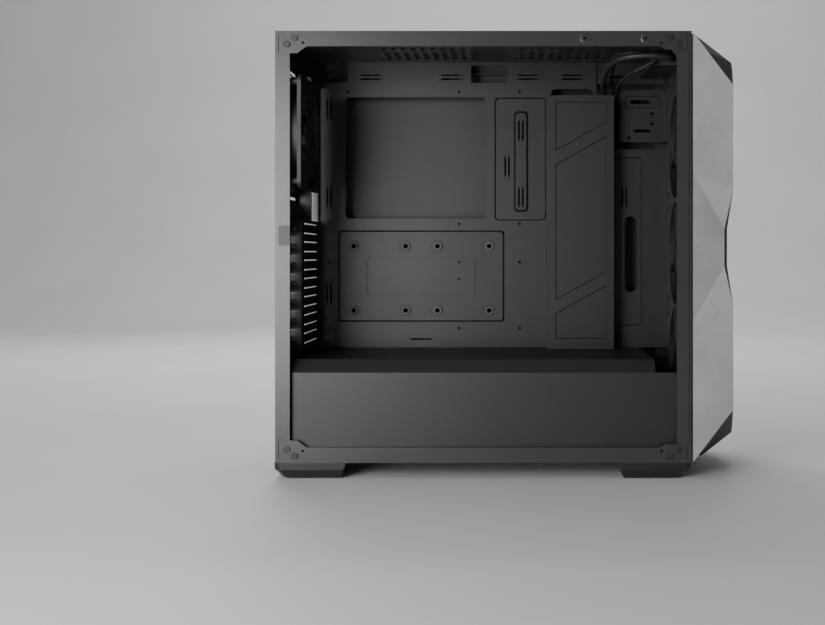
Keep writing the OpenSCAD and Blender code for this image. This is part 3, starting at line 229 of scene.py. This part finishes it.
# which look each CAD node wears
LOOK = {
    "frame": ["floor_pan", "roof_panel", "rear_panel", "front_wall"],
    # the interior parts wear the frame paint darkened as painted shade
    "inside": ["motherboard_tray", "right_panel", "psu_shroud", "cable_cover", "front_bracket", "ssd_bracket",
               "drive_cage"]
    + [f"slot_cover_{i}" for i in range(1, 8)],
    "psu": ["psu_housing", "psu_end_plate", "psu_fan_guard"],
    "plastic": ["post_insert", "psu_inlet", "psu_switch", "drive_tray_upper", "drive_tray_lower", "io_panel",
                "power_button", "reset_button"],
    "net": ["front_filter", "top_filter", "psu_filter"],
    "fan": ["rear_fan_frame", "front_fan_1_frame", "front_fan_2_frame", "front_fan_3_frame"],
    "blade": ["rear_fan_rotor", "front_fan_1_rotor", "front_fan_2_rotor", "front_fan_3_rotor", "psu_rotor"],
    "foot": ["foot_rear_left", "foot_rear_right", "foot_front_left", "foot_front_right"],
    "cheek": ["cheek_left", "cheek_right"],
    "shell": ["front_shell"],
    "rubber": ["ssd_grommets", "foot_pads"],
    "cable": ["front_panel_leads"],
    "black_metal": ["slot_screws", "corner_rivets", "fan_screws", "thumbscrew_upper", "thumbscrew_lower"],
    "nickel": ["io_sockets"],
    "alloy": ["hard_drive"],
    "mesh": ["front_mesh"],
}
for look, names in LOOK.items():
    for name in names:
        slots = NODES[name].data.materials
        for i in range(max(1, len(slots))):
            if i < len(slots):
                slots[i] = MATS[look]
            else:
                slots.append(MATS[look])


# ---------- soft edges on the CAD nodes ----------

def soften(name, width, segments=2, angle=35):
    """A small bevel on a CAD node's edges, which only removes material."""
    mod = NODES[name].modifiers.new("edge", "BEVEL")
    mod.width = width
    mod.segments = segments
    mod.limit_method = "ANGLE"
    mod.angle_limit = math.radians(angle)
    mod.use_clamp_overlap = True
    mod.harden_normals = False


for name in LOOK["foot"]:
    soften(name, 0.0012, 3, 20)
for name in LOOK["cheek"]:
    soften(name, 0.0007, 2, 10)
for name in ("psu_housing", "hard_drive", "cable_cover"):
    soften(name, 0.0005, 2, 60)


# ---------- mesh helpers ----------

def piece(name, verts, faces, material, body, smooth=True, replaces=()):
    data = bpy.data.meshes.new(name)
    data.from_pydata([tuple(v) for v in verts], [], [tuple(f) for f in faces])
    data.validate()
    data.materials.append(MATS[material])
    for polygon in data.polygons:
        polygon.use_smooth = smooth
    obj = bpy.data.objects.new(name, data)
    bpy.context.scene.collection.objects.link(obj)
    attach(obj, body)
    if replaces:
        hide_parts(*replaces)
    return obj


def fresh_normals(obj):
    mesh = bmesh.new()
    mesh.from_mesh(obj.data)
    bmesh.ops.recalc_face_normals(mesh, faces=mesh.faces)
    mesh.to_mesh(obj.data)
    mesh.free()


def sharpen(obj, angle=35):
    """Smooth shading with sharp edges past an angle."""
    limit = math.radians(angle)
    mesh = bmesh.new()
    mesh.from_mesh(obj.data)
    for edge in mesh.edges:
        if len(edge.link_faces) == 2:
            edge.smooth = edge.calc_face_angle(0.0) < limit
    mesh.to_mesh(obj.data)
    mesh.free()


# ---------- fan rotors ----------

def rotor_mesh(radius, hub, depth, blades, sweep, chord, lean):
    """Swept, twisted blades of aerofoil section on a domed hub, blowing along +Z, from z = 0 to depth."""
    verts, faces = [], []
    spans, around = 9, 9
    for b in range(blades):
        turn = 2 * math.pi * b / blades
        base = len(verts)
        for i in range(spans + 1):
            t = i / spans
            r = hub - 0.0015 + (radius - hub + 0.0015) * t
            half = chord / 2 * (1.0 + 0.42 * t - 0.1 * t * t)
            pitch = math.radians(52 - 24 * t)
            middle = sweep * t * t + lean * t
            for side in (1, -1):
                for k in range(around + 1):
                    u = -1 + 2 * k / around
                    camber = 0.0018 * (1 - u * u)
                    thick = 0.00085 * math.sqrt(max(0.0, 1 - u ** 4)) * (1.25 - 0.4 * t)
                    along, rise = u * half, camber + side * thick
                    arc = along * math.cos(pitch) - rise * math.sin(pitch)
                    z = depth / 2 + along * math.sin(pitch) + rise * math.cos(pitch)
                    z = min(max(z, 0.0004), depth - 0.0004)
                    a = turn + middle + arc / r
                    verts.append((r * math.cos(a), r * math.sin(a), z))
        ring = 2 * (around + 1)
        for i in range(spans):
            for s in (0, 1):
                for k in range(around):
                    a = base + i * ring + s * (around + 1) + k
                    quad = (a, a + 1, a + 1 + ring, a + ring)
                    faces.append(quad if s == 0 else quad[::-1])
            for k in (0, around):
                a = base + i * ring + k
                b2 = a + around + 1
                quad = (a, b2, b2 + ring, a + ring)
                faces.append(quad if k == 0 else quad[::-1])
        tip = base + spans * ring
        for k in range(around):
            faces.append((tip + k, tip + k + 1, tip + around + 2 + k, tip + around + 1 + k))
    # hub: a turned profile with a rounded shoulder, a flat face and a shallow ring
    profile = [(0.0, 0.0), (hub - 0.0035, 0.0), (hub - 0.0012, 0.0006), (hub, 0.0026), (hub, depth - 0.001),
               (hub - 0.0016, depth - 0.001), (hub - 0.0016, 0.004), (0.0, 0.004)]
    profile[1:1] = [(hub * 0.55, 0.0), (hub * 0.57, 0.0004), (hub * 0.61, 0.0004), (hub * 0.63, 0.0)]
    count = 64
    base = len(verts)
    for r, z in profile:
        for k in range(count):
            a = 2 * math.pi * k / count
            verts.append((max(r, 0.00001) * math.cos(a), max(r, 0.00001) * math.sin(a), z))
    for p in range(len(profile) - 1):
        for k in range(count):
            a, b2 = base + p * count + k, base + p * count + (k + 1) % count
            faces.append((a, a + count, b2 + count, b2))
    faces.append(tuple(base + k for k in range(count)))
    last = base + (len(profile) - 1) * count
    faces.append(tuple(last + k for k in reversed(range(count))))
    return verts, faces


def put_rotor(name, node, body, matrix, **shape):
    verts, faces = rotor_mesh(**shape)
    obj = piece(name, [matrix @ Vector(v) for v in verts], faces, "blade", body,
                replaces=[node])
    fresh_normals(obj)
    sharpen(obj, 40)
    return obj


BLOW_REAR = Matrix.Rotation(math.radians(-90), 4, "X")
for name, body in (("rear_fan", "rear_fan"), ("front_fan_1", "front_fan_1"), ("front_fan_2", "front_fan_2"),
                   ("front_fan_3", "front_fan_3")):
    low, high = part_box(f"{name}_rotor")
    # the bore's middle comes from the frame, since the blades are not even about it
    a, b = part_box(f"{name}_frame")
    centre = (a + b) / 2
    place = Matrix.Translation((centre.x, low.y + 0.0002, centre.z)) @ BLOW_REAR
    put_rotor(f"{name}_blades", f"{name}_rotor", body, place, radius=0.0552, hub=0.02, depth=0.0185, blades=7,
              sweep=0.42, chord=0.034, lean=0.1)
low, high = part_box("psu_rotor")
a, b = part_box("psu_fan_guard")
put_rotor("psu_blades", "psu_rotor", "psu_fan",
          Matrix.Translation(((a.x + b.x) / 2, (a.y + b.y) / 2, low.z + 0.0002)),
          radius=0.0567, hub=0.02, depth=0.0135, blades=9, sweep=0.3, chord=0.024, lean=0.05)


# ---------- perforated front ----------

SHELL_LOW, SHELL_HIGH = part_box("front_shell")
MESH_LOW, MESH_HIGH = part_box("front_mesh")
WAIST = (MESH_LOW.z + MESH_HIGH.z) / 2
NOSE = MESH_LOW.y
EDGE = SHELL_HIGH.x
# the fascia's sections, as in the CAD: (distance behind the nose, height over the waist)
PROFILES = {
    0.0: [(0.067, 0.2248), (0.045, 0.2248), (0.0024, 0.208), (0.0, 0.190), (0.0, 0.060), (0.007, 0.020)],
    0.060: [(0.067, 0.2248), (0.044, 0.2244), (0.012, 0.1994), (0.0096, 0.183), (0.0096, 0.060),
            (0.016, 0.020)],
    EDGE: [(0.067, 0.223), (0.047, 0.2054), (0.019, 0.168), (0.019, 0.160), (0.019, 0.060), (0.026, 0.020)],
}


def profile_back(profile, height):
    """How far behind the nose a section lies at a height over the waist."""
    height = abs(height)
    points = profile[1:]
    if height <= points[-1][1]:
        return points[-1][0]
    for (y0, z0), (y1, z1) in zip(points, points[1:]):
        if z1 <= height <= z0:
            return y1 + (y0 - y1) * (height - z1) / (z0 - z1)
    return points[0][0]


def front_y(x, z):
    """Y of the fascia's outer skin at a point seen from the front."""
    x = min(abs(x), EDGE)
    stations = sorted(PROFILES)
    for a, b in zip(stations, stations[1:]):
        if a <= x <= b:
            t = (x - a) / (b - a)
            back = (1 - t) * profile_back(PROFILES[a], z - WAIST) + t * profile_back(PROFILES[b], z - WAIST)
            return NOSE + back
    return NOSE


def mesh_half_width(height):
    """Half the width of the mesh opening at a height over the waist."""
    h = abs(height)
    corners = [(0.0, 0.084), (0.020, 0.084), (0.061, 0.095), (0.163, 0.095), (0.197, 0.052)]
    for (h0, w0), (h1, w1) in zip(corners, corners[1:]):
        if h0 <= h <= h1:
            return w0 + (w1 - w0) * (h - h0) / (h1 - h0)
    return 0.0


def perforated_front(pitch=0.0052, hole=0.0021, inset=0.0006):
    """Hexagonal cells with round holes, laid over the fascia's opening and given a thickness."""
    verts, faces, index = [], [], {}

    def vertex(x, z):
        key = (round(x * 1e6), round(z * 1e6))
        if key not in index:
            index[key] = len(verts)
            verts.append((x, front_y(x, z) + inset, z))
        return index[key]

    sides = 12
    step = pitch * math.sqrt(3) / 2
    rows = int(0.197 / step) + 1
    radius = pitch / math.sqrt(3)
    for j in range(-rows, rows + 1):
        for i in range(-24, 25):
            x = (i + (0.5 if j % 2 else 0.0)) * pitch
            h = j * step
            room = mesh_half_width(abs(h) + pitch * 0.3) - abs(x)
            if abs(h) > 0.1965 or room < -pitch * 0.1:
                continue
            outer, inner = [], []
            for k in range(sides):
                a = math.pi / 6 + 2 * math.pi * k / sides
                reach = radius if k % 2 == 0 else pitch / 2
                outer.append(vertex(x + reach * math.cos(a), WAIST + h + reach * math.sin(a)))
                inner.append((x + hole * math.cos(a), WAIST + h + hole * math.sin(a)))
            if room < pitch * 0.55 or abs(h) > 0.1935:
                faces.append(tuple(outer))
                continue
            ring = [vertex(*p) for p in inner]
            for k in range(sides):
                m = (k + 1) % sides
                faces.append((outer[k], outer[m], ring[m], ring[k]))
    obj = piece("front_mesh_sheet", verts, faces, "mesh", "fascia", smooth=False,
                replaces=["front_mesh"])
    fresh_normals(obj)
    mod = obj.modifiers.new("sheet", "SOLIDIFY")
    mod.thickness = 0.0008
    mod.offset = -1.0
    return obj


FRONT = perforated_front()


# ---------- leads ----------

def smooth_route(route, steps):
    """A smooth line through a route's points, from millimetres to metres."""
    points = [tuple(c / 1000 for c in p) for p in route]
    out = []
    n = len(points) - 1
    for i in range(n):
        a, b, c, d = (Vector(points[max(i - 1, 0)]), Vector(points[i]), Vector(points[i + 1]),
                      Vector(points[min(i + 2, n)]))
        for k in range(steps):
            t = k / steps
            out.append((2 * b + (c - a) * t + (2 * a - 5 * b + 4 * c - d) * t * t
                        + (3 * b - a - 3 * c + d) * t * t * t) / 2)
    out.append(Vector(points[-1]))
    return out


def tube(points, radius, sides):
    """Closed tube through points."""
    verts, faces = [], []
    n = len(points)
    side = Vector((0.2, 0.3, 1.0))
    for i, p in enumerate(points):
        tangent = (points[min(i + 1, n - 1)] - points[max(i - 1, 0)]).normalized()
        side = (side - tangent * side.dot(tangent)).normalized()
        up = tangent.cross(side)
        for k in range(sides):
            a = 2 * math.pi * k / sides
            verts.append(p + radius * (side * math.cos(a) + up * math.sin(a)))
    for i in range(n - 1):
        for k in range(sides):
            a, b = i * sides + k, i * sides + (k + 1) % sides
            faces.append((a, b, b + sides, a + sides))
    faces.append(tuple(reversed(range(sides))))
    faces.append(tuple((n - 1) * sides + k for k in range(sides)))
    return verts, faces


# each lead's radius, and its route as in the CAD, in millimetres
ROUTES = {
    "usb": (0.0035, [(-30.6, -174.5, 450), (-37, -174.5, 450), (-46, -168, 450.5), (-49, -150, 451.5),
                     (-44, -128, 451), (-30, -113, 448.5), (2, -106, 444), (50, -106, 437),
                     (80, -108, 429), (88, -108, 408), (88, -108, 350), (88, -108, 300)]),
    "audio": (0.0022, [(-30.6, -165.5, 452), (-35, -165.5, 452), (-40, -160, 453), (-41, -146, 455),
                       (-36, -126, 456), (-20, -113, 455), (10, -115, 450), (50, -115, 442.5),
                       (78, -116.5, 432), (87, -117, 408), (87, -117, 350), (87, -117, 308)]),
    "switch": (0.0020, [(-30.6, -158, 447), (-34, -158, 447), (-38, -154, 445), (-37, -144, 441),
                        (-26, -133, 437), (-6, -126, 434.5), (30, -122.5, 432.5), (64, -122.5, 429),
                        (82, -122.5, 418), (86, -123, 400), (86, -123, 350), (86, -123, 318)]),
}
TWIST_PITCH = 0.016
WIRE_RADIUS = 0.00098
WIRE_OFFSET = 0.00095


def twisted_pair(route):
    """Two insulated wires, wound round a route."""
    line = smooth_route(route, 24)
    verts, faces = [], []
    for phase in (0.0, math.pi):
        wound = []
        side = Vector((0.2, 0.3, 1.0))
        travelled = 0.0
        for i, p in enumerate(line):
            tangent = (line[min(i + 1, len(line) - 1)] - line[max(i - 1, 0)]).normalized()
            side = (side - tangent * side.dot(tangent)).normalized()
            if i:
                travelled += (line[i] - line[i - 1]).length
            a = travelled * 2 * math.pi / TWIST_PITCH + phase
            wound.append(p + WIRE_OFFSET * (side * math.cos(a) + tangent.cross(side) * math.sin(a)))
        v, f = tube(wound, WIRE_RADIUS, 8)
        faces += [tuple(len(verts) + i for i in q) for q in f]
        verts += v
    return verts, faces


for label, (radius, route) in ROUTES.items():
    if label == "switch":
        verts, faces = twisted_pair(route)
    else:
        verts, faces = tube(smooth_route(route, 8), radius, 16)
    lead = piece(f"{label}_lead", verts, faces, "cable", "chassis", replaces=["front_panel_leads"])
    fresh_normals(lead)


# ---------- stage, light and camera ----------

def area(name, place, target, size, power):
    data = bpy.data.lights.new(name, "AREA")
    data.energy = power
    data.size = size
    obj = bpy.data.objects.new(name, data)
    obj.location = place
    obj.rotation_euler = (Vector(target) - Vector(place)).to_track_quat("-Z", "Y").to_euler()
    bpy.context.scene.collection.objects.link(obj)
    return obj


def floor():
    """Pale floor that curves up into a backdrop behind the case."""
    g = Graph("stage_floor")
    tone = g.noise(3.0, 3.0)
    mat = g.set(color=g.blend(g.spread(tone, 0.0, 1.0), grey(0.68), grey(0.72)), rough=0.6)
    half = 8.0
    bend = 1.6
    start = 2.4
    steps = 16
    profile = [(-half, 0.0), (start, 0.0)]
    for i in range(1, steps + 1):
        a = math.pi / 2 * i / steps
        profile.append((start + bend * math.sin(a), bend - bend * math.cos(a)))
    profile.append((start + bend, 5.0))
    verts = [(x, y, z) for x, z in profile for y in (-half, half)]
    faces = [(2 * i, 2 * i + 2, 2 * i + 3, 2 * i + 1) for i in range(len(profile) - 1)]
    data = bpy.data.meshes.new("stage_floor")
    data.from_pydata(verts, [], faces)
    data.materials.append(mat)
    for polygon in data.polygons:
        polygon.use_smooth = True
    obj = bpy.data.objects.new("stage_floor", data)
    bpy.context.scene.collection.objects.link(obj)


floor()
world = bpy.data.worlds.new("studio")
bpy.context.scene.world = world
world.use_nodes = True
world.node_tree.nodes["Background"].inputs["Color"].default_value = (0.85, 0.87, 0.9, 1)
world.node_tree.nodes["Background"].inputs["Strength"].default_value = 0.2
area("key", (-1.3, 0.7, 0.28), (-0.1, 0.2, 0.25), 0.65, 20)
area("over", (-1.5, 0.9, 1.5), (0, 0.02, 0.25), 1.0, 5)
area("fill", (-1.7, -1.5, 0.9), (0, -0.05, 0.2), 1.3, 1.5)
area("top", (0.1, 0.1, 2.0), (0, 0, 0.3), 1.4, 4)
area("back", (1.6, 0.6, 1.4), (0, 0, 0.25), 1.2, 14)
area("backdrop", (1.5, 0.0, 2.6), (3.6, 0.0, 0.4), 1.5, 60)

camera_data = bpy.data.cameras.new("camera")
camera_data.sensor_width = 36.0
camera_data.lens = 52.4
camera_data.shift_x = -0.128
camera_data.shift_y = -0.0697
camera = bpy.data.objects.new("camera", camera_data)
camera.location = (-1.357, -0.0057, 0.234)
camera.rotation_euler = (math.radians(90), 0, math.radians(-90))
bpy.context.scene.collection.objects.link(camera)
bpy.context.scene.camera = camera
